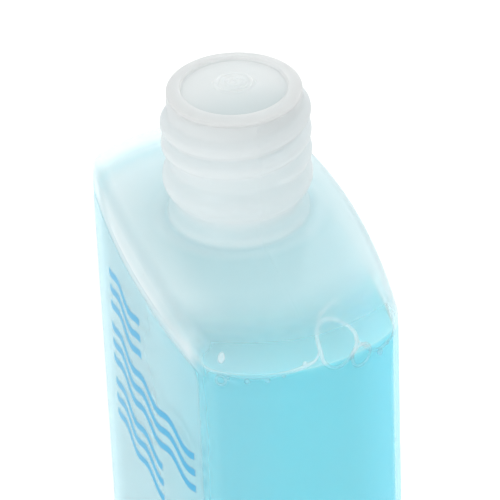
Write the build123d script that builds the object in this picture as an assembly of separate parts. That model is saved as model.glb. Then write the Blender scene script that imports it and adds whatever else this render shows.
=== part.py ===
from build123d import *
import math
import os

# Body of the bottle
body_width = 81.0
body_depth = 42.2
body_height = 179.5
front_crown = 2.65
side_crown = 6.5
corner_radius = 5.0
wall = 1.0
shoulder_radius = 153.0
shoulder_edge_radius = 3.0
heel_radius = 4.0

# Pushed-up base with its pinch-off line
base_ring_width = 8.0
push_up = 1.6
push_up_slope = 2.0
pinch_length = 46.0
pinch_width = 1.0
pinch_height = 0.4

# Neck, measured down from its rim
neck_height = 25.25
neck_radius = 12.3
bore_radius = 10.9
rim_chamfer = 0.3
bead_radius = 13.75
bead_drop = 17.15
bead_half_height = 2.9
groove_radius = 11.7
groove_width = 2.7
root_radius = 13.0
root_flare_height = 0.9
root_fillet = 0.8
throat_radius = 10.4

# Thread round the neck
thread_radius = 13.75
thread_pitch = 4.23
thread_width = 3.2
thread_start_drop = 3.2
thread_turns = 2.3
thread_start_angle = 12.0
thread_run_out_angle = 35.0
thread_end_share = 0.02
thread_step_angle = 18.0
thread_sink = 0.1

# Sealing plug in the mouth
flange_radius = 12.2
flange_thickness = 1.2
lip_round = 0.45
plug_clearance = 0.05
skirt_depth = 7.0
skirt_wall = 0.8
skirt_chamfer = 0.4
recess_depth = 1.0
dome_rise = 1.5
diaphragm_thickness = 0.7
gate_ring_radius = 3.3
gate_ring_width = 0.5
gate_ring_height = 0.25
gate_stub_radius = 1.6
gate_stub_height = 0.2
gate_nib_radius = 0.35
gate_nib_height = 0.3

# Liquid inside, its level measured down from the neck's rim
soap_drop = 33.85
soap_gap = 0.05
meniscus_radius = 1.2
meniscus_lip = 0.2

# Label on the front face, its top measured down from the neck's rim
label_width = 63.6
label_top_drop = 35.15
label_bottom = 18.0
label_corner_radius = 3.5
label_thickness = 0.12
adhesive_thickness = 0.08

# Reach above and below a height within which an edge is looked for
edge_search = 0.01

# Places worked out from the sizes above
rim_height = body_height + neck_height
soap_level = rim_height - soap_drop
label_top = rim_height - label_top_drop
skirt_radius = bore_radius - plug_clearance
recess_radius = skirt_radius - skirt_wall
recess_floor = rim_height + flange_thickness - recess_depth
corner_x = body_width / 2 - side_crown
corner_y = body_depth / 2 - front_crown


def plan(inset=0.0):
    """Outline of the body from above: four crowned sides and rounded corners, moved in by inset."""
    front = ThreePointArc((-corner_x, -corner_y), (0, -body_depth / 2), (corner_x, -corner_y))
    right = ThreePointArc((corner_x, -corner_y), (body_width / 2, 0), (corner_x, corner_y))
    back = ThreePointArc((corner_x, corner_y), (0, body_depth / 2), (-corner_x, corner_y))
    left = ThreePointArc((-corner_x, corner_y), (-body_width / 2, 0), (-corner_x, -corner_y))
    outline = make_face([front, right, back, left])
    outline = fillet(outline.vertices(), corner_radius)
    if inset > 0:
        outline = offset(outline, amount=-inset)
    return outline


def dome_height(radius, inset=0.0):
    """Height of the shoulder's dome at a distance from the neck axis."""
    centre = body_height - math.sqrt(shoulder_radius**2 - root_radius**2)
    return centre + math.sqrt((shoulder_radius - inset)**2 - radius**2)


def dome_blank(inset=0.0):
    """Round block with the shoulder's dome on top, wider than the body."""
    reach = body_width / 2 + wall
    bottom = inset
    top = dome_height(0, inset)
    edge = dome_height(reach, inset)
    middle = dome_height(reach / 2, inset)
    sides = Polyline((0, top), (0, bottom), (reach, bottom), (reach, edge))
    crown = ThreePointArc((reach, edge), (reach / 2, middle), (0, top))
    half = make_face([Plane.XZ * sides, Plane.XZ * crown])
    return revolve(half, Axis.Z)


def body_form(inset=0.0):
    """Closed form of the body below the neck, moved in by inset on every side."""
    block = extrude(plan(inset), body_height + wall) & dome_blank(inset)
    shoulder_edges = block.faces().sort_by(Axis.Z)[-1].edges()
    block = fillet(shoulder_edges, shoulder_edge_radius - inset)
    heel_edges = block.faces().sort_by(Axis.Z)[0].edges()
    return fillet(heel_edges, heel_radius - inset)


def base_recess(inset=0.0):
    """Shallow push-up in the base, with sloping sides."""
    lower = plan(base_ring_width - inset)
    upper = Pos(0, 0, push_up) * plan(base_ring_width + push_up_slope - inset)
    return Pos(0, 0, inset) * loft([lower, upper])


def neck_profile():
    """Outer half section of the neck, from its rim down into the shoulder."""
    bead_middle = rim_height - bead_drop
    bead_top = bead_middle + bead_half_height
    bead_bottom = bead_middle - bead_half_height
    groove_middle = bead_bottom - groove_width / 2
    groove_bottom = bead_bottom - groove_width
    flare_bottom = groove_bottom - root_flare_height
    foot = body_height - wall
    edge = Polyline(
        (0, foot),
        (0, rim_height),
        (neck_radius - rim_chamfer, rim_height),
        (neck_radius, rim_height - rim_chamfer),
        (neck_radius, bead_top),
    )
    bead = ThreePointArc(
        (neck_radius, bead_top),
        (bead_radius, bead_middle),
        (neck_radius, bead_bottom),
    )
    groove = ThreePointArc(
        (neck_radius, bead_bottom),
        (groove_radius, groove_middle),
        (neck_radius, groove_bottom),
    )
    flare = Polyline(
        (neck_radius, groove_bottom),
        (root_radius, flare_bottom),
        (root_radius, foot),
        (0, foot),
    )
    return [edge, bead, groove, flare]


def neck_form():
    """Solid neck without its thread."""
    lines = [Plane.XZ * part for part in neck_profile()]
    return revolve(make_face(lines), Axis.Z)


def bore_form():
    """Inside of the neck: straight bore, narrower throat, open into the body."""
    throat = rim_height - bead_drop - bead_half_height - groove_width / 2
    bore_end = rim_height - bead_drop
    opening = rim_height + wall
    foot = dome_height(0, wall) - wall
    outline = Polyline(
        (0, opening),
        (bore_radius, opening),
        (bore_radius, bore_end),
        (throat_radius, throat),
        (throat_radius, foot),
        (0, foot),
        (0, opening),
    )
    return revolve(make_face(Plane.XZ * outline), Axis.Z)


def thread_form():
    """Right-hand thread with a rounded crest, which runs out into the neck at both ends."""
    rise = thread_pitch * thread_turns
    foot = rim_height - thread_start_drop - rise
    sweep_angle = thread_turns * 360
    count = math.ceil(sweep_angle / thread_step_angle)
    seat = neck_radius - thread_sink
    full_height = thread_radius - seat
    root = wall / 2
    sections = []
    for index in range(count + 1):
        share = index / count
        from_end = min(share, 1 - share) * sweep_angle
        fullness = math.sin(min(from_end / thread_run_out_angle, 1) * math.pi / 2)
        height = full_height * max(fullness, thread_end_share)
        half = thread_width / 2 * (1 + fullness) / 2
        crest = ThreePointArc((0, -half), (height, 0), (0, half))
        sides = Polyline((0, half), (-root, half), (-root, -half), (0, -half))
        turn = Rot(0, 0, thread_start_angle + share * sweep_angle)
        place = turn * Pos(seat, 0, foot + share * rise)
        sections.append(place * make_face([Plane.XZ * crest, Plane.XZ * sides]))
    return loft(sections)


def cavity():
    """Inside of the bottle: body and neck bore, with the pushed-up base."""
    return body_form(wall) - base_recess(wall) + bore_form()


def bottle():
    """One blow-moulded shell."""
    skin = body_form() + neck_form()
    low = body_height - edge_search
    high = body_height + edge_search
    neck_root = skin.edges().filter_by_position(Axis.Z, low, high)
    shell = fillet(neck_root, root_fillet) + thread_form() - base_recess() - cavity()
    pinch_middle = push_up - pinch_height / 2
    pinch = Pos(0, 0, pinch_middle) * Box(pinch_length, pinch_width, pinch_height)
    return shell + pinch


def soap():
    """Liquid that fills the body up to its level, drawn up a little along the walls."""
    inset = wall + soap_gap
    top = soap_level + meniscus_radius
    above = extrude(plan(inset + meniscus_lip), body_height)
    above = fillet(above.faces().sort_by(Axis.Z)[0].edges(), meniscus_radius)
    rest = Pos(0, 0, top + body_height / 2) * Box(body_width, body_depth, body_height)
    return body_form(inset) - base_recess(inset) - Pos(0, 0, soap_level) * above - rest


def label():
    """Clear film that follows the crowned front face, held off it by its adhesive."""
    height = label_top - label_bottom
    middle = label_bottom + height / 2
    under = extrude(offset(plan(), amount=adhesive_thickness), body_height)
    over = extrude(offset(plan(), amount=adhesive_thickness + label_thickness), body_height)
    film = over - under
    shape = Plane.XZ * Pos(0, middle) * RectangleRounded(label_width, height, label_corner_radius)
    return film & extrude(shape, body_depth)


def diaphragm_height(radius):
    """Height of the diaphragm's domed top at a distance from the neck axis."""
    curve = (recess_radius**2 + dome_rise**2) / (2 * dome_rise)
    return recess_floor + dome_rise - curve + math.sqrt(curve**2 - radius**2)


def plug_blank():
    """Flange, skirt and domed diaphragm, turned from one half section."""
    crest = rim_height + flange_thickness
    foot = rim_height - skirt_depth
    under = diaphragm_thickness
    half = recess_radius / 2
    top_dome = ThreePointArc(
        (0, diaphragm_height(0)),
        (half, diaphragm_height(half)),
        (recess_radius, recess_floor),
    )
    low_dome = ThreePointArc(
        (recess_radius, recess_floor - under),
        (half, diaphragm_height(half) - under),
        (0, diaphragm_height(0) - under),
    )
    rim = Polyline(
        (recess_radius, recess_floor),
        (recess_radius, crest),
        (flange_radius, crest),
        (flange_radius, rim_height),
        (skirt_radius, rim_height),
        (skirt_radius, foot + skirt_chamfer),
        (skirt_radius - skirt_chamfer, foot),
        (recess_radius, foot),
        (recess_radius, recess_floor - under),
    )
    axis = Line((0, diaphragm_height(0) - under), (0, diaphragm_height(0)))
    face = make_face([Plane.XZ * line for line in (top_dome, rim, low_dome, axis)])
    blank = revolve(face, Axis.Z)
    lip = blank.edges().filter_by_position(Axis.Z, crest - edge_search, crest + edge_search)
    return fillet(lip, lip_round)


def neck_plug():
    """Sealing plug with the ring and gate mark in the middle of its diaphragm."""
    blank = plug_blank()
    ring_outer = gate_ring_radius + gate_ring_width / 2
    ring_inner = gate_ring_radius - gate_ring_width / 2
    sunk = diaphragm_thickness / 2
    ring_top = diaphragm_height(gate_ring_radius) + gate_ring_height
    stub_top = diaphragm_height(0) + gate_stub_height
    ring_length = gate_ring_height + sunk
    ring = Cylinder(ring_outer, ring_length) - Cylinder(ring_inner, ring_length)
    ring = Pos(0, 0, ring_top - ring_length / 2) * ring
    stub = Pos(0, 0, stub_top - sunk / 2) * Cylinder(gate_stub_radius, sunk)
    nib = Pos(0, 0, stub_top + gate_nib_height / 2) * Cylinder(gate_nib_radius, gate_nib_height)
    return blank + ring + stub + nib


os.makedirs("parts", exist_ok=True)
export_step(bottle(), "parts/bottle.step")
export_step(soap(), "parts/soap.step")
export_step(label(), "parts/label.step")
export_step(neck_plug(), "parts/neck_plug.step")
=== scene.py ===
import math

import bpy
import numpy as np
from mathutils import Matrix, Vector


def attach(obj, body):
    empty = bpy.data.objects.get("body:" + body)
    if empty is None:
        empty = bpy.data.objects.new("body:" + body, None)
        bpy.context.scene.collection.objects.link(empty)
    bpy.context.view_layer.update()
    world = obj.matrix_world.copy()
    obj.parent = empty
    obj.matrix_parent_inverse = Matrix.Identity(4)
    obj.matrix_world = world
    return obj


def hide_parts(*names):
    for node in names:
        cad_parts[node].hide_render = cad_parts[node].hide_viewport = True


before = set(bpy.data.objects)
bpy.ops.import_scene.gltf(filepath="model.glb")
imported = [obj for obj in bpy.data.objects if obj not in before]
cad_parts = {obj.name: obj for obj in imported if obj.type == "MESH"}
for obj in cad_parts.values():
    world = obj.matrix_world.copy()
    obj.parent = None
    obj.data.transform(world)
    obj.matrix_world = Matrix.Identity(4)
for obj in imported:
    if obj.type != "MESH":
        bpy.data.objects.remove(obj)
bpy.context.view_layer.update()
mm = 0.001

# Sizes of the bottle in millimetres, as its solids have them
bottleSize = {
    "width": 81.0,
    "depth": 42.2,
    "height": 179.5,
    "faceCrown": 2.65,
    "sideCrown": 6.5,
    "cornerRadius": 5.0,
    "wall": 1.0,
    "shoulderRadius": 153.0,
    "shoulderEdge": 3.0,
    "heel": 4.0,
    "standingRing": 8.0,
    "pushUp": 1.6,
    "pushUpSlope": 2.0,
    "partingRidge": 0.07,  # how far the mould's parting line stands proud
    "partingWidth": 0.26,
    "partingFade": (23.0, 16.0),  # distances from the neck's axis between which it grows to its full height
    "partingFoot": 4.0,  # height above the heel's arc over which it starts
    "partingOnBody": 0.15,
    "columns": 320,
    "fineColumns": 4,  # to each side of the parting line
    "fineStep": 0.0004,  # as a share of the outline
    "heelRows": 8,
    "sideRows": 22,
    "edgeRows": 13,
    "domeRows": 24,
    "innerDomeRows": 14,
}

neckSize = {
    "height": 25.25,
    "radius": 12.3,
    "rimRound": 0.02,
    "rimTurns": (0.0, 0.5, 1.0, 1.57),
    "rimFlat": 0.8,
    "boreRadius": 10.9,
    "boreChamfer": 0.15,
    "boreDrops": (4.0, 9.0, 13.0),
    "throatRadius": 10.4,
    "throatEase": 0.1,
    "beadRadius": 13.75,
    "beadDrop": 17.15,
    "beadHalf": 2.9,
    "grooveRadius": 11.7,
    "grooveWidth": 2.7,
    "rootRadius": 13.0,
    "rootFlare": 0.9,
    "rootFillet": 0.8,
    "rowStep": 0.2,
    "softening": 0.46,  # how much the blow moulding rounds every crease
    "softRows": 5,
}

threadSize = {
    "radius": 13.75,
    "pitch": 4.23,
    "width": 3.2,
    "startDrop": 3.2,
    "turns": 2.3,
    "startAngle": 12.0,
    "runOutAngle": 35.0,
    "endShare": 0.02,  # crest left at the very ends of the run-outs
    "sink": 0.1,
}

rim = bottleSize["height"] + neckSize["height"]
domeCentre = bottleSize["height"] - math.sqrt(bottleSize["shoulderRadius"]**2 - neckSize["rootRadius"]**2)

levels = {
    "soap": rim - 33.85,
    "labelTop": rim - 35.15,
    "neckFoot": bottleSize["height"],
}


# Shapes

def quadsOf(index):
    # Four-cornered faces between neighbouring rows and columns of a grid of vertex numbers
    return np.stack([index[:-1, :-1], index[:-1, 1:], index[1:, 1:], index[1:, :-1]], axis=-1).reshape(-1, 4)


def gridFaces(points, loop=False, flip=False):
    # points is (rows, columns, 3), and its last column joins the first one. With loop the last row joins the
    # first one too; otherwise each end closes on a pole.
    rows, columns = points.shape[:2]
    vertices = points.reshape(-1, 3)
    index = np.arange(rows * columns).reshape(rows, columns)
    index = np.concatenate([index, index[:, :1]], axis=1)
    if loop:
        return vertices, quadsOf(np.concatenate([index, index[:1]])).tolist()
    faces = quadsOf(index).tolist()
    for row, way in ((0, -1), (-1, 1)):
        pairs = zip(index[row, :-1].tolist(), index[row, 1:].tolist())
        faces += [[first, second, len(vertices)][::way] for first, second in pairs]
        vertices = np.vstack([vertices, points[row].mean(axis=0)])
    if flip:
        faces = [face[::-1] for face in faces]
    return vertices, faces


def addObject(name, data):
    made = bpy.data.objects.new(name, data)
    bpy.context.scene.collection.objects.link(made)
    return made


def makePiece(name, parts):
    # One object from a list of vertices in millimetres and their faces
    vertices, faces, start = [], [], 0
    for some, theirs in parts:
        vertices.append(some)
        faces += [[corner + start for corner in face] for face in theirs]
        start += len(some)
    mesh = bpy.data.meshes.new(name)
    mesh.from_pydata((np.concatenate(vertices) * mm).tolist(), [], faces)
    mesh.polygons.foreach_set("use_smooth", np.ones(len(mesh.polygons), bool))
    mesh.update()
    return addObject(name, mesh)


def turns(count):
    return np.linspace(0, 2 * math.pi, count, endpoint=False)


def arcRadius(half, rise):
    # Radius of the circle whose arc rises by this much over half its chord
    return (half**2 + rise**2) / (2 * rise)


def bulge(away, half, rise):
    # Height of such an arc over its chord, at a distance from its middle
    radius = arcRadius(half, rise)
    return np.where(abs(away) < half, np.sqrt(np.maximum(radius**2 - away**2, 0)) - radius + rise, 0)


def outlineArcs():
    # The three arcs in one quarter of the plan: narrow side, corner and face
    halfWidth, halfDepth = bottleSize["width"] / 2, bottleSize["depth"] / 2
    sideCrown, faceCrown = bottleSize["sideCrown"], bottleSize["faceCrown"]
    corner = bottleSize["cornerRadius"]
    sideHalf, faceHalf = halfDepth - faceCrown, halfWidth - sideCrown
    sideRadius, faceRadius = arcRadius(sideHalf, sideCrown), arcRadius(faceHalf, faceCrown)
    sideX, faceY = halfWidth - sideRadius, halfDepth - faceRadius
    reachSide, reachFace = sideRadius - corner, faceRadius - corner
    apart = math.hypot(sideX, faceY)
    along = (reachSide**2 - reachFace**2 + apart**2) / (2 * apart)
    across = math.sqrt(reachSide**2 - along**2)
    cornerX = sideX - (along * sideX + across * faceY) / apart
    cornerY = (along * faceY - across * sideX) / apart
    firstTurn = math.atan2(cornerY, cornerX - sideX)
    lastTurn = math.atan2(cornerY - faceY, cornerX)
    sideLength, cornerLength = sideRadius * firstTurn, corner * (lastTurn - firstTurn)
    return {
        "side": (sideRadius, sideX, 0.0),
        "corner": (corner, cornerX, cornerY),
        "face": (faceRadius, 0.0, faceY),
        "firstTurn": firstTurn,
        "lastTurn": lastTurn,
        "sideLength": sideLength,
        "cornerLength": cornerLength,
        "quarter": sideLength + cornerLength + faceRadius * (math.pi / 2 - lastTurn),
    }


arcs = outlineArcs()


def outlineAt(share, inset=0.0):
    # Plan outline at a share of its length, counter-clockwise from +X, with each quarter mirrored from the
    # first one. Returns points moved in along the normals, and the normals.
    share = np.asarray(share, float) % 1.0
    quadrant = np.floor(share * 4).astype(int)
    part = share * 4 - quadrant
    run = arcs["quarter"] * np.where(quadrant % 2 == 0, part, 1 - part)
    pastSide = run - arcs["sideLength"]
    pastCorner = pastSide - arcs["cornerLength"]
    which = (pastSide >= 0).astype(int) + (pastCorner >= 0)
    radius, centreX, centreY = np.array([arcs["side"], arcs["corner"], arcs["face"]]).T[:, which]
    turn = np.choose(which, [
        run / arcs["side"][0],
        arcs["firstTurn"] + pastSide / arcs["corner"][0],
        arcs["lastTurn"] + pastCorner / arcs["face"][0],
    ])
    signX = np.where((quadrant == 1) | (quadrant == 2), -1.0, 1.0)
    signY = np.where(quadrant >= 2, -1.0, 1.0)
    normal = np.stack([np.cos(turn) * signX, np.sin(turn) * signY], axis=-1)
    point = np.stack([centreX * signX, centreY * signY], axis=-1) + (radius - inset)[:, None] * normal
    return point, normal


def columnShares():
    # Even columns, with fine ones about the parting line at both narrow sides
    step = 1 / bottleSize["columns"]
    fine = np.arange(-bottleSize["fineColumns"], bottleSize["fineColumns"] + 1) * bottleSize["fineStep"]
    plain = np.arange(1, bottleSize["columns"] // 2) * step
    half = np.concatenate([fine, plain])
    return np.sort(np.concatenate([half, half + 0.5]) % 1.0)


def withHeight(plan, height):
    return np.concatenate([plan, np.broadcast_to(height, plan.shape[:-1])[..., None]], axis=-1)


def unitCircle(turn):
    return np.stack([np.cos(turn), np.sin(turn)], axis=-1)


def domeHeight(radius, inset=0.0):
    return domeCentre + np.sqrt((bottleSize["shoulderRadius"] - inset)**2 - radius**2)


def smallerPlan(plan, inset):
    # Outline far inside the walls: the heel's foot, drawn in evenly towards the middle
    half = np.array([bottleSize["width"], bottleSize["depth"]]) / 2
    return plan * ((half - inset) / (half - bottleSize["heel"]))


def baseRows(shares, inset):
    # From the middle of the base outwards: pushed-up floor, its slope and the standing ring
    plan = outlineAt(shares, bottleSize["heel"])[0]
    ring, slope = bottleSize["standingRing"] - inset, bottleSize["pushUpSlope"]
    high = inset + bottleSize["pushUp"]
    floor = smallerPlan(plan, ring + slope)
    rows = [withHeight(floor * scale, high) for scale in (0.15, 0.4, 0.7, 0.97, 1.0)]
    for part in (0.75, 0.5, 0.25, 0.0):
        rows.append(withHeight(smallerPlan(plan, ring + slope * part), inset + bottleSize["pushUp"] * part))
    return rows


def shoulderBall(plan, normal, inset):
    # The ball that rolls round the shoulder's edge: its radius and middle, the ways out of the wall and of
    # the dome there, and the angle between them
    ball = bottleSize["shoulderEdge"] - inset
    centre = plan - normal * ball
    height = domeHeight(np.hypot(*centre.T), inset + ball)
    up = withHeight(centre, height - domeCentre)
    up /= np.linalg.norm(up, axis=1, keepdims=True)
    out = withHeight(normal, 0.0)
    whole = np.arccos(np.clip((up * out).sum(axis=1), -1, 1))
    return ball, withHeight(centre, height), out, up, whole


def between(out, up, whole, angle):
    # Unit way that has turned by an angle from out towards up, which are a whole angle apart
    way = np.sin(whole - angle)[:, None] * out + np.sin(angle)[:, None] * up
    return way / np.sin(whole)[:, None]


def wallRows(shares, inset, top=None):
    # Heel arc, straight wall, then the rolling ball of the shoulder's edge; top cuts the wall off level
    plan, normal = outlineAt(shares, inset)
    heel = bottleSize["heel"] - inset
    rows = []
    for turn in np.linspace(math.pi / 2, 0, bottleSize["heelRows"]):
        foot = plan - normal * heel * (1 - math.cos(turn))
        rows.append(withHeight(foot, inset + heel * (1 - math.sin(turn))))
    ball, middle, out, up, whole = shoulderBall(plan, normal, inset)
    wallTop = middle[:, 2] if top is None else np.full(len(shares), top)
    for part in np.linspace(0, 1, bottleSize["sideRows"])[1:]:
        rows.append(withHeight(plan, inset + heel + (wallTop - inset - heel) * part))
    if top is None:
        for part in np.linspace(0, 1, bottleSize["edgeRows"])[1:]:
            rows.append(middle + between(out, up, whole, part * whole) * ball)
    return rows


def domeRows(shares, edge, radius, inset, count):
    # Straight in plan from the shoulder's edge to a circle round the neck, on the dome's sphere
    circle = unitCircle(2 * math.pi * shares) * radius
    rows = []
    for part in np.linspace(0, 1, count)[1:]:
        plan = edge[:, :2] * (1 - part) + circle * part
        rows.append(withHeight(plan, domeHeight(np.hypot(*plan.T), inset)))
    return rows


def wallSheet(along, climb, inset=0.0):
    # A point of the wall and the way out of it, from a place on the unrolled wall: millimetres round from
    # the middle of the narrow side at +X, and up from the liquid over the shoulder's edge on to the dome
    along, climb = np.asarray(along, float), np.asarray(climb, float)
    plan, normal = outlineAt(along / (4 * arcs["quarter"]), inset)
    ball, middle, out, up, whole = shoulderBall(plan, normal, inset)
    past = climb - (middle[:, 2] - levels["soap"])
    way = between(out, up, whole, np.clip(past / ball, 0, whole))
    point = middle + way * ball
    point[:, 2] += np.minimum(past, 0)
    point[:, :2] -= normal * np.maximum(past - ball * whole, 0)[:, None]
    onDome = past > ball * whole
    point[onDome, 2] = domeHeight(np.hypot(*point[onDome, :2].T), inset)
    return point, way


def neckRadius(height):
    # Half section of the neck from its root to the rim: flare, groove, bead and the thread's cylinder
    beadMiddle = rim - neckSize["beadDrop"]
    beadHalf, beadRise = neckSize["beadHalf"], neckSize["beadRadius"] - neckSize["radius"]
    grooveHalf, grooveDepth = neckSize["grooveWidth"] / 2, neckSize["radius"] - neckSize["grooveRadius"]
    grooveMiddle = beadMiddle - beadHalf - grooveHalf
    flareTop = grooveMiddle - grooveHalf
    flared = np.clip((flareTop - height) / neckSize["rootFlare"], 0, 1)
    flare = (neckSize["rootRadius"] - neckSize["radius"]) * flared
    bead = bulge(height - beadMiddle, beadHalf, beadRise)
    groove = bulge(height - grooveMiddle, grooveHalf, grooveDepth)
    return neckSize["radius"] + bead - groove + flare


def threadRadius(turn, height):
    # Arc-crested ridge on a right-hand helix; its height follows a sine over the run-out at both ends
    rise = threadSize["pitch"] * threadSize["turns"]
    foot = rim - threadSize["startDrop"] - rise
    sweep = threadSize["turns"] * 360
    seat = neckSize["radius"] - threadSize["sink"]
    best = np.zeros(np.broadcast(turn, height).shape)
    for lap in range(math.ceil(threadSize["turns"]) + 1):
        angle = np.degrees(turn) - threadSize["startAngle"] + 360 * lap
        share = angle / sweep
        fromEnd = np.minimum(angle, sweep - angle)
        fullness = np.sin(np.clip(fromEnd / threadSize["runOutAngle"], 0, 1) * math.pi / 2)
        crest = (threadSize["radius"] - seat) * np.maximum(fullness, threadSize["endShare"])
        half = threadSize["width"] / 2 * (1 + fullness) / 2
        away = height - foot - share * rise
        there = (abs(away) < half) & (share >= 0) & (share <= 1)
        best = np.maximum(best, np.where(there, seat + bulge(away, half, crest), 0))
    return best


def neckRows(shares):
    # Root fillet on the dome, then the neck's radius over angle and height, softened along the height
    fillet = neckSize["rootFillet"]
    centreRadius = neckSize["rootRadius"] + fillet
    centreHeight = float(domeHeight(centreRadius, -fillet))
    lean = math.asin(centreRadius / (bottleSize["shoulderRadius"] + fillet))
    turn = 2 * math.pi * shares
    unit = unitCircle(turn)
    rows = []
    for angle in np.linspace(math.pi / 2 - lean, 0, 7)[1:-1]:
        radius = centreRadius - fillet * math.cos(angle)
        rows.append(withHeight(unit * radius, centreHeight - fillet * math.sin(angle)))
    top = rim - neckSize["rimRound"]
    heights = np.arange(centreHeight, top, neckSize["rowStep"])
    radii = np.maximum(neckRadius(heights)[:, None], threadRadius(turn[None, :], heights[:, None]))
    reach = neckSize["softRows"]
    offsets = np.arange(-reach, reach + 1) * neckSize["rowStep"]
    weights = np.exp(-(offsets / neckSize["softening"])**2 / 2)
    weights /= weights.sum()
    padded = np.pad(radii, ((reach, reach), (0, 0)), mode="edge")
    soft = sum(weight * padded[start:start + len(heights)] for start, weight in enumerate(weights))
    rows += [withHeight(unit * radius[:, None], height) for radius, height in zip(soft, heights)]
    return rows


def ringRows(shares, profile):
    # Plain circles round the neck's axis from a list of radius and height
    unit = unitCircle(2 * math.pi * shares)
    return [withHeight(unit * radius, height) for radius, height in profile]


def raisePartingLine(points):
    # A narrow rounded ridge in the mould's parting plane, along the surface's own normals
    along = np.roll(points, -1, axis=1) - np.roll(points, 1, axis=1)
    upward = np.gradient(points, axis=0)
    normals = np.cross(along, upward)
    normals /= np.maximum(np.linalg.norm(normals, axis=-1, keepdims=True), 1e-9)
    ridge = np.exp(-(points[..., 1] / bottleSize["partingWidth"])**2)
    away = np.clip((points[..., 2] - bottleSize["heel"]) / bottleSize["partingFoot"], 0, 1)
    spread = np.hypot(points[..., 0], points[..., 1])
    far, near = bottleSize["partingFade"]
    onNeck = np.clip((far - spread) / (far - near), 0, 1)
    share = onNeck + (1 - onNeck) * bottleSize["partingOnBody"]
    return points + normals * (bottleSize["partingRidge"] * ridge * away * share)[..., None]


def mouthProfile():
    # Radius and height from the rim's outer edge, over the rim and down the bore to the throat
    radius, bore, throat = neckSize["radius"], neckSize["boreRadius"], neckSize["throatRadius"]
    edge, chamfer = neckSize["rimRound"], neckSize["boreChamfer"]
    profile = []
    for turn in neckSize["rimTurns"]:
        profile.append((radius - edge * (1 - math.cos(turn)), rim - edge * (1 - math.sin(turn))))
    profile += [(radius - neckSize["rimFlat"], rim), (bore + chamfer, rim), (bore, rim - chamfer)]
    profile += [(bore, rim - drop) for drop in neckSize["boreDrops"]]
    boreEnd = rim - neckSize["beadDrop"]
    throatTop = boreEnd - neckSize["beadHalf"] - neckSize["grooveWidth"] / 2
    throatFoot = float(domeHeight(throat, bottleSize["wall"])) + neckSize["throatEase"]
    return profile + [(bore, boreEnd), (throat, throatTop), (throat, throatFoot)]


def makeBottle():
    # One closed skin: outside from the middle of the base up to the rim, then the inside back down
    shares, wall = columnShares(), bottleSize["wall"]
    outer = baseRows(shares, 0.0) + wallRows(shares, 0.0)
    filletFoot = neckSize["rootRadius"] + neckSize["rootFillet"]
    filletFoot *= bottleSize["shoulderRadius"] / (bottleSize["shoulderRadius"] + neckSize["rootFillet"])
    outer += domeRows(shares, outer[-1], filletFoot, 0.0, bottleSize["domeRows"])
    outer += neckRows(shares)
    outer = raisePartingLine(np.array(outer))
    inner = baseRows(shares, wall) + wallRows(shares, wall)
    innerFoot = neckSize["throatRadius"] + neckSize["throatEase"]
    inner += domeRows(shares, inner[-1], innerFoot, wall, bottleSize["innerDomeRows"])
    mouth = np.array(ringRows(shares, mouthProfile()))
    points = np.concatenate([outer, mouth, np.array(inner)[::-1]])
    piece = makePiece("blown_bottle", [gridFaces(points)])
    return piece, len(outer), points.shape


bottlePiece, outerRows, bottleGrid = makeBottle()
print("bottle", bottleGrid, "triangles", 2 * bottleGrid[0] * bottleGrid[1])


# Materials

def mathSign(operation, swapped=False):
    def made(self, other=None):
        return self.maths(operation, other, self) if swapped else self.maths(operation, self, other)
    return made


class Link:
    # One socket's value. Plain maths signs between links and numbers add Math nodes.
    __add__, __radd__ = mathSign("ADD"), mathSign("ADD", True)
    __sub__, __rsub__ = mathSign("SUBTRACT"), mathSign("SUBTRACT", True)
    __mul__, __rmul__ = mathSign("MULTIPLY"), mathSign("MULTIPLY", True)
    __truediv__, __pow__ = mathSign("DIVIDE"), mathSign("POWER")
    __abs__, sine, root, atLeast = [mathSign(name) for name in ("ABSOLUTE", "SINE", "SQRT", "MAXIMUM")]

    def __init__(self, socket):
        self.socket = socket

    def maths(self, operation, first, second=None):
        node = self.socket.id_data.nodes.new("ShaderNodeMath")
        node.operation = operation
        for place, value in enumerate((first, second)):
            if isinstance(value, Link):
                self.socket.id_data.links.new(value.socket, node.inputs[place])
            elif value is not None:
                node.inputs[place].default_value = value
        return Link(node.outputs[0])

    def toward(self, goal, share):
        # Goes from this value to the goal as share goes from 0 to 1
        return self + (goal - self) * share


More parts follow.
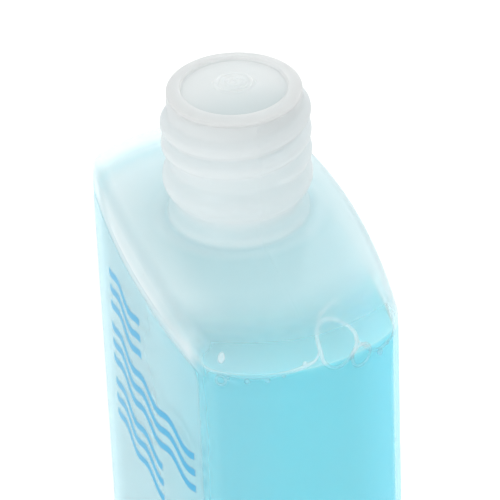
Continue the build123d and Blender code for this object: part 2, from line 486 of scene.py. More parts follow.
class Finish:
    # A new material. node() adds any node: its settings first, then the values or links of its sockets.
    def __init__(self, name):
        self.material = bpy.data.materials.new(name)
        self.material.use_nodes = True
        self.tree = self.material.node_tree
        self.tree.nodes.clear()
        self.output = self.tree.nodes.new("ShaderNodeOutputMaterial")

    def fill(self, socket, value):
        # A socket takes a link, a colour of three numbers or a plain value
        if isinstance(value, Link):
            self.tree.links.new(value.socket, socket)
        else:
            socket.default_value = (*value, 1) if socket.type == "RGBA" else value

    def node(self, kind, settings=None, sockets=None, output=0):
        made = self.tree.nodes.new(kind)
        for name, value in (settings or {}).items():
            setattr(made, name, value)
        for name, value in (sockets or {}).items():
            self.fill(made.inputs[name], value)
        return Link(made.outputs[output])

    def coordinates(self):
        return self.node("ShaderNodeTexCoord", output=3)

    def place(self):
        # Object coordinates in millimetres, as three links
        split = self.tree.nodes.new("ShaderNodeSeparateXYZ")
        self.fill(split.inputs[0], self.coordinates())
        return [Link(socket) * 1000 for socket in split.outputs]

    def fade(self, value, low, high):
        # 0 at low, 1 at high, smooth between; low may be the greater one
        if low > high:
            return 1 - self.fade(value, high, low)
        sockets = {"Value": value, "From Min": low, "From Max": high}
        return self.node("ShaderNodeMapRange", {"interpolation_type": "SMOOTHSTEP"}, sockets)

    def tints(self, look, first, *layers):
        # Colours of a look laid over one another, each by its own share
        tint = look[first]
        for share, name in layers:
            sockets = {0: share, 6: tint, 7: look[name]}
            tint = self.node("ShaderNodeMix", {"data_type": "RGBA"}, sockets, output=2)
        return tint

    def noise(self, scale, detail, stretch=(1, 1, 1)):
        sized = self.node("ShaderNodeMapping", sockets={"Vector": self.coordinates(), "Scale": stretch})
        return self.node("ShaderNodeTexNoise", sockets={"Vector": sized, "Scale": scale, "Detail": detail})

    def bump(self, height, distance, strength):
        sockets = {"Height": height, "Distance": distance, "Strength": strength}
        return self.node("ShaderNodeBump", sockets=sockets)

    def facing(self):
        # 0 where the surface is seen square on, 1 where it is seen edge on
        return self.node("ShaderNodeLayerWeight", sockets={"Blend": 0.5}, output=1)

    def principled(self, **sockets):
        # Principled shader; names are written without their spaces
        shader = self.tree.nodes.new("ShaderNodeBsdfPrincipled")
        known = {socket.name.replace(" ", ""): socket for socket in shader.inputs}
        for name, value in sockets.items():
            self.fill(known[name], value)
        return Link(shader.outputs[0])

    def clear(self, colour):
        return self.node("ShaderNodeBsdfTransparent", sockets={"Color": colour})

    def blend(self, share, first, second):
        # Mix of two shaders, by a number or a link
        return self.node("ShaderNodeMixShader", sockets={0: share, 1: first, 2: second})

    def show(self, shader):
        self.fill(self.output.inputs[0], shader)
        return self.material

    def surface(self, **sockets):
        return self.show(self.principled(**sockets))

    def milk(self, opacity, look, **sockets):
        # Milky sheet: a lit face, light let through from behind, and what is left clear
        face = self.principled(**sockets)
        through = self.node("ShaderNodeBsdfTranslucent", sockets={"Color": look["glow"]})
        clear = look["clear"] if isinstance(look["clear"], Link) else self.clear(look["clear"])
        return self.show(self.blend(opacity, clear, self.blend(look["passing"], face, through)))


# A pair is where something starts and where it is full, in millimetres
milkLook = {
    "wetOpacity": 0.08,  # where the liquid touches the wall
    "cornerOpacity": 0.16,  # the same at the upright corners, where the plastic is thicker
    "dryOpacity": 0.17,  # just above the liquid
    "domeOpacity": 0.9,
    "bandOpacity": 0.75,  # along the bare strip and both long edges of the shoulder
    "neckOpacity": 0.97,
    "edgeWhite": 0.3,  # how white the wall turns where it is seen edge on
    "neckPassing": 0.72,  # share of the light that comes through from behind
    "domePassing": 0.35,
    "glow": (0.882, 0.89, 0.893),
    "wetClear": (0.71, 0.925, 0.965),
    "dryClear": (0.95, 0.985, 0.99),
    "domeTint": (0.455, 0.58, 0.6),
    # Painted backlight: the shoulder's long edges are paler, as if the white backdrop shone through them
    "flankTint": (0.59, 0.69, 0.7),
    # Painted backlight: the far end, towards -X, is paler, as if the white backdrop showed through the wall
    "endTint": (0.78, 0.82, 0.825),
    "bandTint": (0.49, 0.58, 0.6),
    # Pale strip above the label: partly the wall's thicker milky edge, partly a painted highlight
    "stripTint": (0.74, 0.73, 0.73),
    "neckTint": (0.69, 0.71, 0.715),
    # Painted light: the neck's foot is made paler to cancel the shade in the crease round it
    "footTint": (0.84, 0.86, 0.86),
    "drySpan": (-0.3, 0.9),  # above the liquid
    "milkSpan": (6.0, 24.0),  # above the liquid and in from the narrow sides, as one sum
    "bandReach": (2.4, 0.5),  # in from the wide faces
    "bandSpan": (-1.0, -0.1),  # above the label's top
    "bandEnds": (0.8, 7.0),  # in from the narrow sides
    "stripSpan": (4.6, 1.0),
    "cornerAcross": (15.0, 17.5),
    "cornerAlong": (29.0, 33.0),
    "flankReach": (9.5, 1.5),
    "flankEnds": (2.0, 16.0),
    "endSpan": (4.0, -30.0),  # along the width, towards -X
    "footReach": (17.0, 12.6),  # from the neck's axis
    "footSpan": (-3.0, 0.0),  # above the neck's foot
    "footTop": (4.6, 3.0),
    "footShare": 0.7,
    "neckSpan": (-0.8, 3.6),
    "cloudTint": 0.12,
    "cloudOpacity": 0.05,
}


def milkyPlastic():
    # Natural blow-moulded plastic: clear where the liquid wets it, milky over the headspace with the
    # liquid's colour showing through it, white at the neck. Its paler long edges, far end and neck foot are
    # painted light, and the pale strip above the label is partly a painted highlight
    look = milkLook
    finish = Finish("milky_plastic")
    x, y, z = finish.place()
    aboveSoap, aboveLabel, aboveFoot = [z - levels[name] for name in ("soap", "labelTop", "neckFoot")]
    faceRadius, faceY = arcs["face"][::2]
    sideRadius, sideX = arcs["side"][:2]
    fromFace = (faceRadius + faceY) - x * x / (2 * faceRadius) - abs(y)
    fromSide = (sideRadius + sideX) - y * y / (2 * sideRadius) - abs(x)
    dry = finish.fade(aboveSoap, *look["drySpan"])
    high = finish.fade(fromSide + aboveSoap, *look["milkSpan"]) * dry
    band = finish.fade(fromFace, *look["bandReach"]) * finish.fade(aboveLabel, *look["bandSpan"])
    band = band * finish.fade(fromSide, *look["bandEnds"])
    # The pale strip just above the label: partly the wall's thicker edge, partly a painted highlight
    strip = band * finish.fade(aboveLabel, *look["stripSpan"])
    corner = finish.fade(abs(y), *look["cornerAcross"]) * finish.fade(abs(x), *look["cornerAlong"])
    # Where the painted backlight lies along the shoulder's long edges
    flank = finish.fade(fromFace, *look["flankReach"]) * finish.fade(fromSide, *look["flankEnds"])
    # Where the painted backlight lies towards the far end at -X
    end = finish.fade(x, *look["endSpan"])
    foot = finish.fade((x * x + y * y).root(), *look["footReach"])
    foot = foot * finish.fade(aboveFoot, *look["footSpan"])
    neck = (foot * look["footShare"]).toward(1, finish.fade(aboveFoot, *look["neckSpan"]))
    cloud = finish.noise(60, 4)
    wet = look["wetOpacity"] + (look["cornerOpacity"] - look["wetOpacity"]) * corner
    opacity = wet.toward(look["dryOpacity"], dry).toward(look["domeOpacity"], high)
    opacity = opacity.toward(look["bandOpacity"], band * (1 - high)).toward(look["neckOpacity"], neck)
    opacity = opacity + (cloud - 0.5) * look["cloudOpacity"]
    opacity = opacity.toward(1, finish.facing()**3 * look["edgeWhite"])
    # Where the neck's foot gets its painted light, a paler tint against the shade of the crease
    foot = foot * finish.fade(aboveFoot, *look["footTop"])
    tint = finish.tints(look, "domeTint", (flank, "flankTint"), (end, "endTint"),
                        (cloud * look["cloudTint"], "bandTint"), (band, "bandTint"), (strip, "stripTint"),
                        (neck, "neckTint"), (foot, "footTint"))
    grain = finish.noise(900, 3)
    flow = finish.noise(40, 3, stretch=(1, 1, 0.2))
    normal = finish.bump(grain * 0.2 + flow, 0.00006, 0.4)
    rough = 0.3 + (grain - 0.5) * 0.1
    clear = finish.blend(dry, finish.clear(look["wetClear"]), finish.clear(look["dryClear"]))
    passing = look["domePassing"] + neck * (look["neckPassing"] - look["domePassing"])
    sheet = {"glow": look["glow"], "clear": clear, "passing": passing}
    return finish.milk(opacity, sheet, BaseColor=tint, Roughness=rough, Normal=normal, IOR=1.5,
                       SubsurfaceWeight=1.0, SubsurfaceRadius=(1.0, 1.0, 1.0), SubsurfaceScale=0.005,
                       CoatWeight=0.8, CoatRoughness=0.12)


innerLook = {
    "opacity": 0.02,
    "neckMore": 0.6,  # added to the opacity inside the neck
    "neckSpan": (-1.0, 3.0),  # above the neck's foot
    "passing": 0.5,
    "glow": (0.9, 0.93, 0.93),
    "clear": (0.985, 0.995, 0.995),
    "tint": (0.84, 0.87, 0.88),
}


def innerWall():
    # The inside of the same wall, nearly clear below the neck so that the milkiness isn't counted twice
    look = innerLook
    finish = Finish("inner_wall")
    z = finish.place()[2]
    opacity = look["opacity"] + look["neckMore"] * finish.fade(z - levels["neckFoot"], *look["neckSpan"])
    return finish.milk(opacity, look, BaseColor=look["tint"], Roughness=0.35, IOR=1.3)


liquidLook = {
    "colour": (0.325, 0.665, 0.72),
    # Painted backlight: lighter towards the back, as if the backdrop shone through the thin liquid there
    "brightColour": (0.375, 0.755, 0.84),
    # Painted shade: darker and greyer towards the label, evening out the window lamp's light on that side
    "frontColour": (0.37, 0.62, 0.67),
    "driftColour": (0.345, 0.665, 0.72),
    "driftShare": 0.3,
    "brightSpan": (6.0, 17.0),  # along the depth, towards the back
    "brightEnd": (20.8, 18.6),
    "frontSpan": (-2.0, -16.0),  # along the depth, towards the label
}


def liquidSoap():
    # Blue liquid, drawn as a softly scattering body: painted backlight makes it lighter near the back, and
    # painted shade makes it greyer behind the label, evening out the window lamp's light on that side
    look = liquidLook
    finish = Finish("liquid_soap")
    y = finish.place()[1]
    bright = finish.fade(y, *look["brightSpan"]) * finish.fade(y, *look["brightEnd"])
    front = finish.fade(y, *look["frontSpan"])
    drift = finish.noise(25, 2) * look["driftShare"]
    colour = finish.tints(look, "colour", (bright, "brightColour"), (front, "frontColour"),
                          (drift, "driftColour"))
    return finish.surface(BaseColor=colour, Roughness=0.12, IOR=1.36, SubsurfaceWeight=0.8,
                          SubsurfaceRadius=(0.5, 0.9, 1.0), SubsurfaceScale=0.006)


bottlePiece.data.materials.append(milkyPlastic())
bottlePiece.data.materials.append(innerWall())
rowsOf = np.repeat(np.arange(bottleGrid[0] - 1), bottleGrid[1])
slots = np.zeros(len(bottlePiece.data.polygons), np.int32)
slots[:len(rowsOf)] = rowsOf > outerRows + len(neckSize["rimTurns"])
slots[len(rowsOf) + bottleGrid[1]:] = 1  # the fan at the inner pole
bottlePiece.data.polygons.foreach_set("material_index", slots)
bottlePiece.visible_shadow = False  # the milky wall scatters the lamps' light on inwards
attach(bottlePiece, "bottle")
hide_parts("bottle")


pinchSize = {
    "length": 46.0,
    "width": 1.0,
    "height": 0.4,
    "sink": 0.02,
    "least": 0.0004,  # square of the size left at the ends
    "sides": 12,
}


def makePinchLine():
    # Line where the mould pinched the base shut: an ellipse across, drawn in at both ends
    size = pinchSize
    along = np.linspace(-1, 1, 61)
    full = np.sqrt(np.clip(1 - along**8, size["least"], 1))[:, None]
    turn = turns(size["sides"])[None, :]
    length = along[:, None] * size["length"] / 2
    width = full * np.sin(turn) * size["width"] / 2
    height = bottleSize["pushUp"] + size["sink"] - full * np.cos(turn) * size["height"]
    points = np.stack(np.broadcast_arrays(length, width, height), axis=-1)
    return makePiece("pinch_off_line", [gridFaces(points)])


pinchPiece = makePinchLine()
pinchPiece.data.materials.append(bottlePiece.data.materials[0])
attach(pinchPiece, "bottle")
print("pinch-off line")


soapSize = {
    "gap": 0.05,
    "meniscus": 0.25,
    "lip": 0.05,
    "drop": 0.7,  # the foam along the wall hides the true level, so the surface lies under it
}


def makeSoap():
    # The liquid's skin just inside the walls, its top drawn up at the walls by a meniscus arc
    shares = columnShares()
    inset = bottleSize["wall"] + soapSize["gap"]
    level, arc = levels["soap"] - soapSize["drop"], soapSize["meniscus"]
    rows = baseRows(shares, inset) + wallRows(shares, inset, top=level + arc)
    plan, normal = outlineAt(shares, inset + soapSize["lip"] + arc)
    for turn in np.linspace(0, math.pi / 2, 7):
        rows.append(withHeight(plan + normal * arc * math.cos(turn), level + arc * (1 - math.sin(turn))))
    rows += [withHeight(plan * scale, level) for scale in (0.9, 0.7, 0.45, 0.2)]
    return makePiece("liquid_soap", [gridFaces(np.array(rows))])


soapPiece = makeSoap()
soapPiece.data.materials.append(liquidSoap())
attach(soapPiece, "bottle")
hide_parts("soap")
print("soap")


# Foam left on the inside of the wall, at places along and up the unrolled wall as wallSheet takes them
foamSize = {
    "inset": 0.92,
    "flat": 0.55,
    "sides": 10,
    "spacing": 0.45,
    "lineRadius": 0.46,
    "taperSteps": 8,
    "tip": 0.03,
    "ringPoints": 40,
    "beadPoints": 14,
    "beadDepth": 0.6,
}

foamRings = [
    # along, up, half width, half height, lean in degrees, line radius
    (5.5, 3.4, 3.9, 5.3, -12, 0.44),
    (10.1, -1.3, 2.1, 2.2, 0, 0.4),
    (-17.2, -2.2, 0.95, 1.0, 0, 0.32),
    (24.5, 0.6, 1.9, 2.0, 0, 0.3),
    (-62.0, 0.9, 2.3, 2.4, 10, 0.3),
    (103.0, 1.2, 3.0, 3.3, 6, 0.36),
    (108.5, 0.2, 1.6, 1.7, 0, 0.3),
]

foamLines = [
    # the rim of one large flat bubble, along the liquid and up round its corner
    [(-41, 0.2), (-32.1, -0.6), (-23.6, -0.5), (-17.9, -0.5), (-13.8, -1.0), (-9.9, -1.2), (-7.7, -0.9),
     (-3.6, -0.4), (-1.4, 0.3), (0.6, 0.9), (1.2, 2.6)],
    [(8.7, 2.7), (10.4, 0.8), (12.2, -1.2), (14.8, -2.6), (18.5, -1.6), (24.0, -0.4), (34.0, 0.1)],
    [(3.9, 8.4), (6.0, 10.0), (9.5, 11.2), (14.0, 11.6)],
    [(-40.2, 1.2), (-39.4, 3.2), (-38.0, 4.7), (-36.4, 5.3)],
    [(-36.8, 1.4), (-36.0, 3.6), (-34.4, 4.9), (-33.0, 5.0)],
    [(-33.4, 0.6), (-32.6, 2.8), (-31.0, 4.6), (-29.4, 4.9)],
    [(34.0, 0.1), (60.0, -0.3), (90.0, 0.3), (100.5, 0.0)],
    [(111.0, 0.0), (130.0, -0.4), (155.0, 0.2), (174.5, 0.2)],
]

foamBeads = [
    # along, up, half width, half height: small bubbles and flecks; the pale bead at -17.0, 2.6 is a painted
    # highlight, standing for a glint on the wall's inner corner
    (-15.9, -1.6, 0.5, 0.5), (-12.3, -2.0, 0.6, 0.55), (-8.6, -1.9, 0.62, 0.55), (-5.6, -1.2, 0.45, 0.4),
    (-17.0, 2.6, 0.75, 1.15), (14.8, -3.1, 0.75, 0.8), (16.9, -2.2, 0.5, 0.5), (19.4, -1.9, 0.6, 0.5),
    (21.2, -1.2, 0.4, 0.4), (-1.6, 0.9, 0.5, 0.45), (7.9, -0.9, 0.55, 0.5), (-20.3, -1.0, 0.4, 0.4),
    (40.0, -0.6, 0.5, 0.5), (58.0, -0.9, 0.6, 0.55), (61.0, -0.7, 0.4, 0.4), (84.0, -0.4, 0.5, 0.5),
    (96.0, -0.7, 0.6, 0.6), (98.0, -0.8, 0.4, 0.4), (126.0, -1.1, 0.6, 0.6), (129.0, -1.0, 0.45, 0.4),
    (148.0, -0.5, 0.5, 0.5), (-52.0, -0.6, 0.5, 0.5), (-47.0, -0.5, 0.4, 0.4),
]


def smoothPath(corners, spacing, closed=False):
    # Corners cut three times over, each leaving a quarter and three quarters of every run, then even steps
    path = np.asarray(corners, float)
    for _ in range(3):
        after = np.roll(path, -1, axis=0) if closed else path[1:]
        before = path if closed else path[:-1]
        cut = np.stack([before * 0.75 + after * 0.25, before * 0.25 + after * 0.75], axis=1).reshape(-1, 2)
        path = cut if closed else np.concatenate([path[:1], cut, path[-1:]])
    if closed:
        path = np.concatenate([path, path[:1]])
    run = np.concatenate([[0], np.cumsum(np.linalg.norm(np.diff(path, axis=0), axis=1))])
    steps = np.linspace(0, run[-1], max(int(run[-1] / spacing), 12) + 1)
    if closed:
        steps = steps[:-1]
    return np.stack([np.interp(steps, run, path[:, 0]), np.interp(steps, run, path[:, 1])], axis=-1)


def foamTube(path, radius, closed=False):
    # Flattened tube along a path on the inside of the wall: an ellipse across it, pointed at open ends
    middle, out = wallSheet(path[:, 0], path[:, 1], foamSize["inset"])
    if closed:
        tangent = np.roll(middle, -1, axis=0) - np.roll(middle, 1, axis=0)
    else:
        tangent = np.gradient(middle, axis=0)
    aside = np.cross(out, tangent)
    aside /= np.linalg.norm(aside, axis=1, keepdims=True)
    steps = np.arange(len(path))
    ends = np.clip(np.minimum(steps, steps[::-1]) / foamSize["taperSteps"], 0, 1)**0.5
    size = np.maximum(radius * (1 if closed else ends), foamSize["tip"]) * np.ones(len(path))
    turn = turns(foamSize["sides"])[None, :, None]
    section = np.cos(turn) * aside[:, None] + foamSize["flat"] * np.sin(turn) * out[:, None]
    points = middle[:, None] + size[:, None, None] * section
    return gridFaces(points, loop=closed)


def foamBead(along, up, halfWide, halfTall):
    # Small bubble as a flattened egg: circles of latitude on the unrolled wall, pushed inwards and outwards
    turn = turns(foamSize["beadPoints"])
    depth = min(halfWide, halfTall) * foamSize["beadDepth"]
    rows = []
    for angle in np.linspace(-math.pi / 2, math.pi / 2, 9)[1:-1]:
        wide, tall = halfWide * math.cos(angle) * np.cos(turn), halfTall * math.cos(angle) * np.sin(turn)
        point, out = wallSheet(along + wide, up + tall, foamSize["inset"])
        rows.append(point + out * math.sin(angle) * depth)
    return gridFaces(np.array(rows))


def makeFoam():
    parts = []
    for along, up, halfWide, halfTall, lean, radius in foamRings:
        turn = turns(foamSize["ringPoints"])
        wide, tall = halfWide * np.cos(turn), halfTall * np.sin(turn)
        lean = math.radians(lean)
        ring = np.stack([along + wide * math.cos(lean) - tall * math.sin(lean),
                         up + wide * math.sin(lean) + tall * math.cos(lean)], axis=-1)
        parts.append(foamTube(smoothPath(ring, foamSize["spacing"], closed=True), radius, closed=True))
    for corners in foamLines:
        parts.append(foamTube(smoothPath(corners, foamSize["spacing"]), foamSize["lineRadius"]))
    parts += [foamBead(*bead) for bead in foamBeads]
    return makePiece("foam_bubbles", parts)


foamLook = {
    "opacity": 0.32,
    "patchOpacity": 0.18,
    "tint": (0.85, 0.85, 0.88),
    "patchTint": (0.91, 0.91, 0.94),
    "passing": 0.4,
    "glow": (0.95, 0.97, 0.97),
    "clear": (0.97, 0.99, 0.99),
}


def foamFilm():
    # Pale soap film, a little clearer in patches and where it is seen edge on
    look = foamLook
    finish = Finish("soap_foam")
    patches = finish.noise(350, 2)
    tint = finish.tints(look, "tint", (patches, "patchTint"))
    opacity = (look["opacity"] + patches * look["patchOpacity"]) * (1 - finish.facing())
    return finish.milk(opacity, look, BaseColor=tint, Roughness=0.25, IOR=1.34)


foamPiece = makeFoam()
foamPiece.data.materials.append(foamFilm())
foamPiece.visible_shadow = False  # the films are far thinner than the tubes that draw them
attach(foamPiece, "bottle")
print("foam")


labelSize = {
    "width": 63.6,
    "bottom": 18.0,
    "corner": 3.5,
    "thickness": 0.12,
    "adhesive": 0.08,
    "edgeDraw": 0.04,  # how far the cut edge slants in towards the front
    "rows": 60,
    "columns": 41,
}

# Three rows of plain blue waves printed on the film, as middle height, left end and right end
printRows = {
    "upper": (157.0, -18.0, 3.5),
    "middle": (144.3, -18.5, 28.5),
    "lower": (131.6, -18.0, 12.5),
}
printSize = {
    "wave": 14.0,
    "swing": 0.9,
    "spacing": 3.7,
    "stroke": 0.82,
    "softEdge": 0.12,
    "softEnd": 0.3,
}


def makeLabel():
    # Rounded rectangle wrapped round the crowned face: width shrinks by the corner arc near top and bottom
    corner, half = labelSize["corner"], labelSize["width"] / 2
    bottom, top = labelSize["bottom"], levels["labelTop"]
    low = bottom + corner * (1 - np.cos(np.linspace(0, math.pi / 2, 9)))
    plain = np.linspace(bottom + corner, top - corner, labelSize["rows"])[1:-1]
    heights = np.concatenate([low, plain, (top + bottom - low)[::-1]])
    nearest = np.minimum(heights - bottom, top - heights)
    halves = half - corner + np.sqrt(corner**2 - np.clip(corner - nearest, 0, corner)**2)
    radius, centreY = arcs["face"][::2]
    across = np.linspace(-1, 1, labelSize["columns"])

    def sheetAt(lift, draw):
        turn = (halves[:, None] - draw) * across[None, :] / radius
        reach = radius + lift
        tall = np.repeat(heights[:, None], len(across), axis=1)
        return np.stack([reach * np.sin(turn), -centreY - reach * np.cos(turn), tall], axis=-1)

    front = sheetAt(labelSize["adhesive"] + labelSize["thickness"], labelSize["edgeDraw"])
    back = sheetAt(labelSize["adhesive"], 0.0)
    rows, columns = front.shape[:2]
    index = np.arange(rows * columns).reshape(rows, columns)
    quads = quadsOf(index)
    loop = np.concatenate([index[0], index[1:-1, -1], index[-1][::-1], index[1:-1, 0][::-1]])
    backLoop = loop + rows * columns
    edge = np.stack([loop, backLoop, np.roll(backLoop, -1), np.roll(loop, -1)], axis=-1)
    faces = np.concatenate([quads, quads[:, ::-1] + rows * columns, edge])
    vertices = np.concatenate([front.reshape(-1, 3), back.reshape(-1, 3)])
    piece = makePiece("label_film", [(vertices, faces.tolist())])
    piece.data.polygons.foreach_set("use_smooth", np.arange(len(faces)) < 2 * len(quads))
    return piece


filmLook = {
    "alpha": 0.2,
    "alphaSpan": (8.0, 32.0),  # along the width, where the film turns clearer towards +X
    "alphaLoss": 0.5,
    "edgeAlpha": 0.15,
    "inkAlpha": 0.86,
    "tint": (0.62, 0.67, 0.68),
    "grainTint": (0.68, 0.72, 0.73),
    "edgeTint": (0.4, 0.6, 0.66),
    "inkTint": (0.03, 0.33, 0.56),
    "edgeBand": (0.3, 0.12),  # the film's cut edge shows as a thin darker line
}


def printedWaves(finish, x, z):
    # 1 on the ink: three waves to a row, each a band about a sine of the width
    size = printSize
    stroke, soft = size["stroke"], size["softEdge"]
    sway = (x * (2 * math.pi / size["wave"])).sine() * size["swing"]
    ink = None
    for height, left, right in printRows.values():
        off = z - height - sway
        inRow = finish.fade(x, left, left + size["softEnd"]) * finish.fade(x, right, right - size["softEnd"])
        for shift in (-size["spacing"], 0.0, size["spacing"]):
            line = finish.fade(abs(off - shift), stroke + soft, stroke - soft) * inRow
            ink = line if ink is None else ink.atLeast(line)
    return ink


def labelFilm():
    # Clear film with a fine dark cut edge and the printed waves
    look = filmLook
    finish = Finish("label_film")
    x, z = finish.place()[::2]
    corner, radius = labelSize["corner"], arcs["face"][0]
    middle = (labelSize["bottom"] + levels["labelTop"]) / 2
    tall = (levels["labelTop"] - labelSize["bottom"]) / 2
    wide = radius * math.sin(labelSize["width"] / 2 / radius)
    pastX = (abs(x) - (wide - corner)).atLeast(0)
    pastZ = (abs(z - middle) - (tall - corner)).atLeast(0)
    inward = corner - (pastX * pastX + pastZ * pastZ).root()
    edge = finish.fade(inward, *look["edgeBand"])
    ink = printedWaves(finish, x, z)
    grain = finish.noise(1200, 2)
    tint = finish.tints(look, "tint", (grain, "grainTint"), (edge, "edgeTint"), (ink, "inkTint"))
    alpha = look["alpha"] * (1 - finish.fade(x, *look["alphaSpan"]) * look["alphaLoss"])
    alpha = (alpha + edge * look["edgeAlpha"]).toward(look["inkAlpha"], ink)
    return finish.surface(BaseColor=tint, Alpha=alpha, Roughness=0.3, IOR=1.4, SpecularIORLevel=0.12)


labelPiece = makeLabel()
labelPiece.data.materials.append(labelFilm())
# the milky wall behind the film scatters its shadow away
labelPiece.visible_shadow = False
labelPiece.visible_diffuse = False
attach(labelPiece, "bottle")
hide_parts("label")
print("label")


plugSize = {
    "lipRadius": 12.3,
    "lipEdge": 0.88,  # heights are above the neck's rim
    "lipEdgeRound": 0.4,
    "lipFall": 1.5,  # power of the curve by which the lip falls from its crest
    "seatEdge": 0.03,  # size of the lip's sharp lower edge
    "crest": 1.32,
    "crestRadius": 10.1,
    "crestRound": 0.4,
    "recessRadius": 9.7,
    "floor": 0.5,
    "domeRise": 1.55,
    "diaphragm": 0.7,
    "skirtRadius": 10.85,
    "skirtDepth": 7.0,
    "skirtInside": 10.05,
    "skirtChamfer": 0.4,
    "ringRadius": 3.3,
    "ringWidth": 0.42,
    "ringHeight": 0.22,
    "innerRing": 2.3,
    "innerWidth": 0.2,
    "innerHeight": 0.07,
    "stubRadius": 1.5,
    "stubEdge": 0.08,
    "stubHeight": 0.18,
    "nibWidth": 0.3,
    "nibHeight": 0.2,
    "pitRadius": 0.9,  # broken ring of dents round the nib
    "pitWidth": 0.22,
    "pitDepth": 0.12,
    "tickRadius": 3.8,  # two short ribs just outside the gate's ring
    "tickWidth": 0.13,
    "tickSpread": 0.16,  # sine of the angle to each side
    "tickAngle": 72.6,
    "tickHeight": 0.2,
    "columns": 240,
}


def hump(value, middle, width):
    return np.exp(-((value - middle) / width)**2)


def gateMarks(radius, turn):
    # What the gate left on the diaphragm, as a height over radius and angle: rings, a stub, dents and ribs
    size = plugSize
    marks = size["ringHeight"] * hump(radius, size["ringRadius"], size["ringWidth"] / 1.6)
    uneven = 1 + 0.6 * np.sin(2 * turn + 0.7)
    marks = marks + size["innerHeight"] * hump(radius, size["innerRing"], size["innerWidth"]) * uneven
    marks = marks + size["stubHeight"] / (1 + np.exp((radius - size["stubRadius"]) / size["stubEdge"]))
    dents = hump(radius, size["pitRadius"], size["pitWidth"]) * (0.5 + 0.5 * np.cos(3 * turn - 0.5))
    marks = marks + size["nibHeight"] * hump(radius, 0, size["nibWidth"]) - size["pitDepth"] * dents
    aside = np.sin(turn - math.radians(size["tickAngle"]))
    ticks = size["tickHeight"] * hump(radius, size["tickRadius"], size["tickWidth"])
    return marks + ticks * hump(aside, 0, size["tickSpread"])


def lipProfile(low):
    # Radius and height from the recess wall, over the crest and the sloping lip, to the seat on the rim
    size = plugSize
    recess, crestRadius, lipRadius = size["recessRadius"], size["crestRadius"], size["lipRadius"]
    inner, outer = size["crestRound"], size["lipEdgeRound"]
    crest, edge = rim + size["crest"], rim + size["lipEdge"]
    profile = [(recess - 0.14, low + 0.03), (recess - 0.04, low + 0.12), (recess, low + 0.3)]
    for angle in np.linspace(0, math.pi / 2, 7):
        profile.append((crestRadius - inner * math.cos(angle), crest - inner * (1 - math.sin(angle))))
    for share in (0.3, 0.6, 0.85):
        radius = crestRadius + (lipRadius - outer - crestRadius) * share
        profile.append((radius, crest - (crest - edge) * share**size["lipFall"]))
    lean = math.atan2(crest - edge, lipRadius - crestRadius)
    for angle in np.linspace(math.pi / 2 - lean, 0, 7):
        profile.append((lipRadius - outer * (1 - math.cos(angle)), edge - outer * (1 - math.sin(angle))))
    sharp = size["seatEdge"]
    return profile + [(lipRadius, rim + sharp), (lipRadius - 0.01, rim + 0.004), (lipRadius - sharp, rim)]


def makePlug():
    # A half section turned round the axis: crowned diaphragm with its gate marks, recess wall, sloping lip,
    # then the skirt inside the bore and the diaphragm's underside
    size = plugSize
    recessRadius, floor = size["recessRadius"], rim + size["floor"]
    curve = arcRadius(recessRadius, size["domeRise"])
    foot, under = rim - size["skirtDepth"], floor - size["diaphragm"]
    shares = np.arange(size["columns"]) / size["columns"]
    turn = 2 * math.pi * shares

    def dome(radius):
        return floor + size["domeRise"] - curve + np.sqrt(curve**2 - radius**2)

    radii = np.concatenate([np.linspace(0.12, 4.4, 72), np.linspace(4.6, recessRadius - 0.3, 16)])
    marks = gateMarks(radii[:, None], turn[None, :])
    unit = unitCircle(turn)
    rows = [withHeight(unit * radius, dome(radius) + height) for radius, height in zip(radii, marks)]
    outside, inside, chamfer = size["skirtRadius"], size["skirtInside"], size["skirtChamfer"]
    profile = lipProfile(float(dome(recessRadius - 0.3)))
    profile += [(outside + 0.5, rim), (outside, rim), (outside, rim - 0.3), (outside, foot + 2.5)]
    profile += [(outside, foot + 0.5), (outside - chamfer, foot), (inside + 0.1, foot), (inside, foot + 0.1)]
    profile += [(inside, foot + 2.5), (inside, under - 0.5), (recessRadius, under)]
    profile += [(radius, float(dome(radius)) - size["diaphragm"]) for radius in (8.5, 7.0, 5.0, 3.0, 1.0)]
    rows += ringRows(shares, profile)
    return makePiece("sealing_plug", [gridFaces(np.array(rows), flip=True)])


plugLook = {
    "opacity": 0.82,
    "edgeOpacity": 0.16,  # added where the plastic is seen edge on
    "passing": 0.48,
    "glow": (0.88, 0.875, 0.872),
    "clear": (0.9, 0.95, 0.955),
    "tint": (0.7, 0.705, 0.705),
    "cloudTint": (0.74, 0.745, 0.74),
    # Painted light: the recess is paler, standing in for light let through the thin plastic
    "floorTint": (0.82, 0.815, 0.81),
    # Painted shade: the recess's +X side is darker and bluer, tinted by the bottle's blue beneath
    "nearTint": (0.49, 0.56, 0.57),
    "nearShare": 0.7,
    "nearSpan": (-2.0, 9.0),  # along the width, towards +X
    "floorRound": 0.3,
    "floorDepth": 1.0,
}


def plugPlastic():
    # As the neck, with painted light making the recess paler, and painted shade making its +X side darker
    # and bluer, where the bottle shows through faintly
    look = plugLook
    finish = Finish("plug_plastic")
    x, y, z = finish.place()
    grain = finish.noise(700, 3)
    cloud = finish.noise(90, 3)
    recess = plugSize["recessRadius"]
    # floor is where the recess gets its painted light, near where it gets its painted shade
    floor = finish.fade((x * x + y * y).root(), recess, recess - look["floorRound"])
    floor = floor * finish.fade(z, rim - look["floorDepth"], rim)
    near = floor * finish.fade(x, *look["nearSpan"])
    tint = finish.tints(look, "tint", (cloud, "cloudTint"), (floor, "floorTint"),
                        (near * look["nearShare"], "nearTint"))
    normal = finish.bump(grain, 0.00005, 0.3)
    opacity = look["opacity"] + finish.facing()**2 * look["edgeOpacity"]
    return finish.milk(opacity, look, BaseColor=tint, Roughness=0.33, Normal=normal, IOR=1.5,
                       SubsurfaceWeight=1.0, SubsurfaceRadius=(1.0, 1.0, 1.0), SubsurfaceScale=0.003)


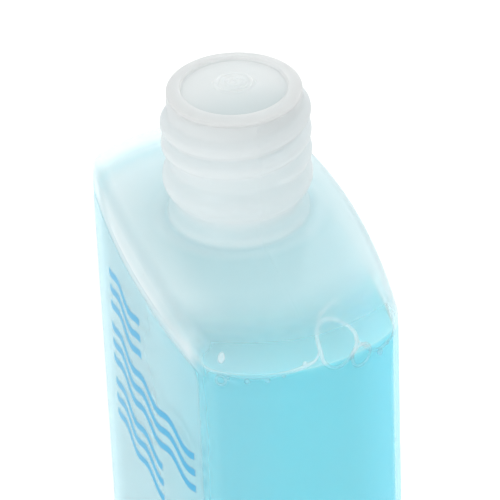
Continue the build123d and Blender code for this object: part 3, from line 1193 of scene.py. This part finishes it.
plugPiece = makePlug()
plugPiece.data.materials.append(plugPlastic())
plugPiece.visible_shadow = False  # as the bottle
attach(plugPiece, "plug")
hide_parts("neck_plug")
print("plug")


# Camera, floor and light

cameraPlace = {
    "azimuth": 17.4,  # degrees round from +X towards -Y
    "elevation": 31.9,
    "roll": 2.39,
    "distance": 0.685,  # from the middle of the plug's lip
    "focal": 3827.0,  # pixels of a 500 pixel frame
    "frame": 500,
    "aim": (234.3, 87.8),  # where the lip's middle falls in the frame
    "lipHeight": rim + 0.75,
    "sensor": 36.0,
}


def makeCamera():
    place = cameraPlace
    azimuth, elevation = math.radians(place["azimuth"]), math.radians(place["elevation"])
    roll, half, focal = math.radians(place["roll"]), place["frame"] / 2, place["focal"]

    def sideAndUp(look):
        side = look.cross(Vector((0, 0, 1))).normalized()
        up = side.cross(look)
        return math.cos(roll) * side - math.sin(roll) * up, math.sin(roll) * side + math.cos(roll) * up

    level = math.cos(elevation)
    out = Vector((math.cos(azimuth) * level, -math.sin(azimuth) * level, math.sin(elevation)))
    target = Vector((0, 0, place["lipHeight"] * mm))
    eye = target + out * place["distance"]
    side, up = sideAndUp(-out)
    step = place["distance"] / focal
    aim = target - side * (place["aim"][0] - half) * step + up * (place["aim"][1] - half) * step
    look = (aim - eye).normalized()
    side, up = sideAndUp(look)
    turn = Matrix((side, up, -look)).transposed().to_4x4()
    camera = addObject("camera", bpy.data.cameras.new("camera"))
    camera.matrix_world = Matrix.Translation(eye) @ turn
    camera.data.sensor_width = place["sensor"]
    camera.data.lens = place["sensor"] * focal / place["frame"]
    camera.data.clip_start, camera.data.clip_end = 0.01, 50
    bpy.context.scene.camera = camera


makeCamera()

studio = {
    "floorWidth": 8.0,
    "floorColour": (0.93, 0.93, 0.93),
    "worldColour": (1.0, 1.0, 1.0),
    "worldStrength": 1.25,
    "lampTarget": 0.12,  # height that both lamps point at
}


def makeStudio():
    half = studio["floorWidth"] / 2
    mesh = bpy.data.meshes.new("floor")
    corners = [(-half, -half, 0), (half, -half, 0), (half, half, 0), (-half, half, 0)]
    mesh.from_pydata(corners, [], [(0, 1, 2, 3)])
    floor = addObject("floor", mesh)
    finish = Finish("floor_paper")
    floor.data.materials.append(finish.surface(BaseColor=studio["floorColour"], Roughness=0.9))
    world = bpy.data.worlds.new("studio")
    world.use_nodes = True
    sky = world.node_tree.nodes["Background"]
    sky.inputs[0].default_value = (*studio["worldColour"], 1)
    sky.inputs[1].default_value = studio["worldStrength"]
    bpy.context.scene.world = world
    bpy.context.scene.view_settings.view_transform = "Standard"


lamps = {
    "top": {"place": (-0.5, 0.5, 0.9), "width": 0.8, "height": 0.8, "power": 1.5},
    "window": {"place": (0.62, -0.88, 0.85), "width": 0.7, "height": 0.1, "power": 1.4},
}


def makeLamps():
    for name, lamp in lamps.items():
        light = bpy.data.lights.new(name + "_light", "AREA")
        light.shape, light.energy = "RECTANGLE", lamp["power"]
        light.size, light.size_y = lamp["width"], lamp["height"]
        place = Vector(lamp["place"])
        toward = Vector((0, 0, studio["lampTarget"])) - place
        turn = toward.to_track_quat("-Z", "Y").to_matrix().to_4x4()
        addObject(name + "_light", light).matrix_world = Matrix.Translation(place) @ turn


makeStudio()
makeLamps()
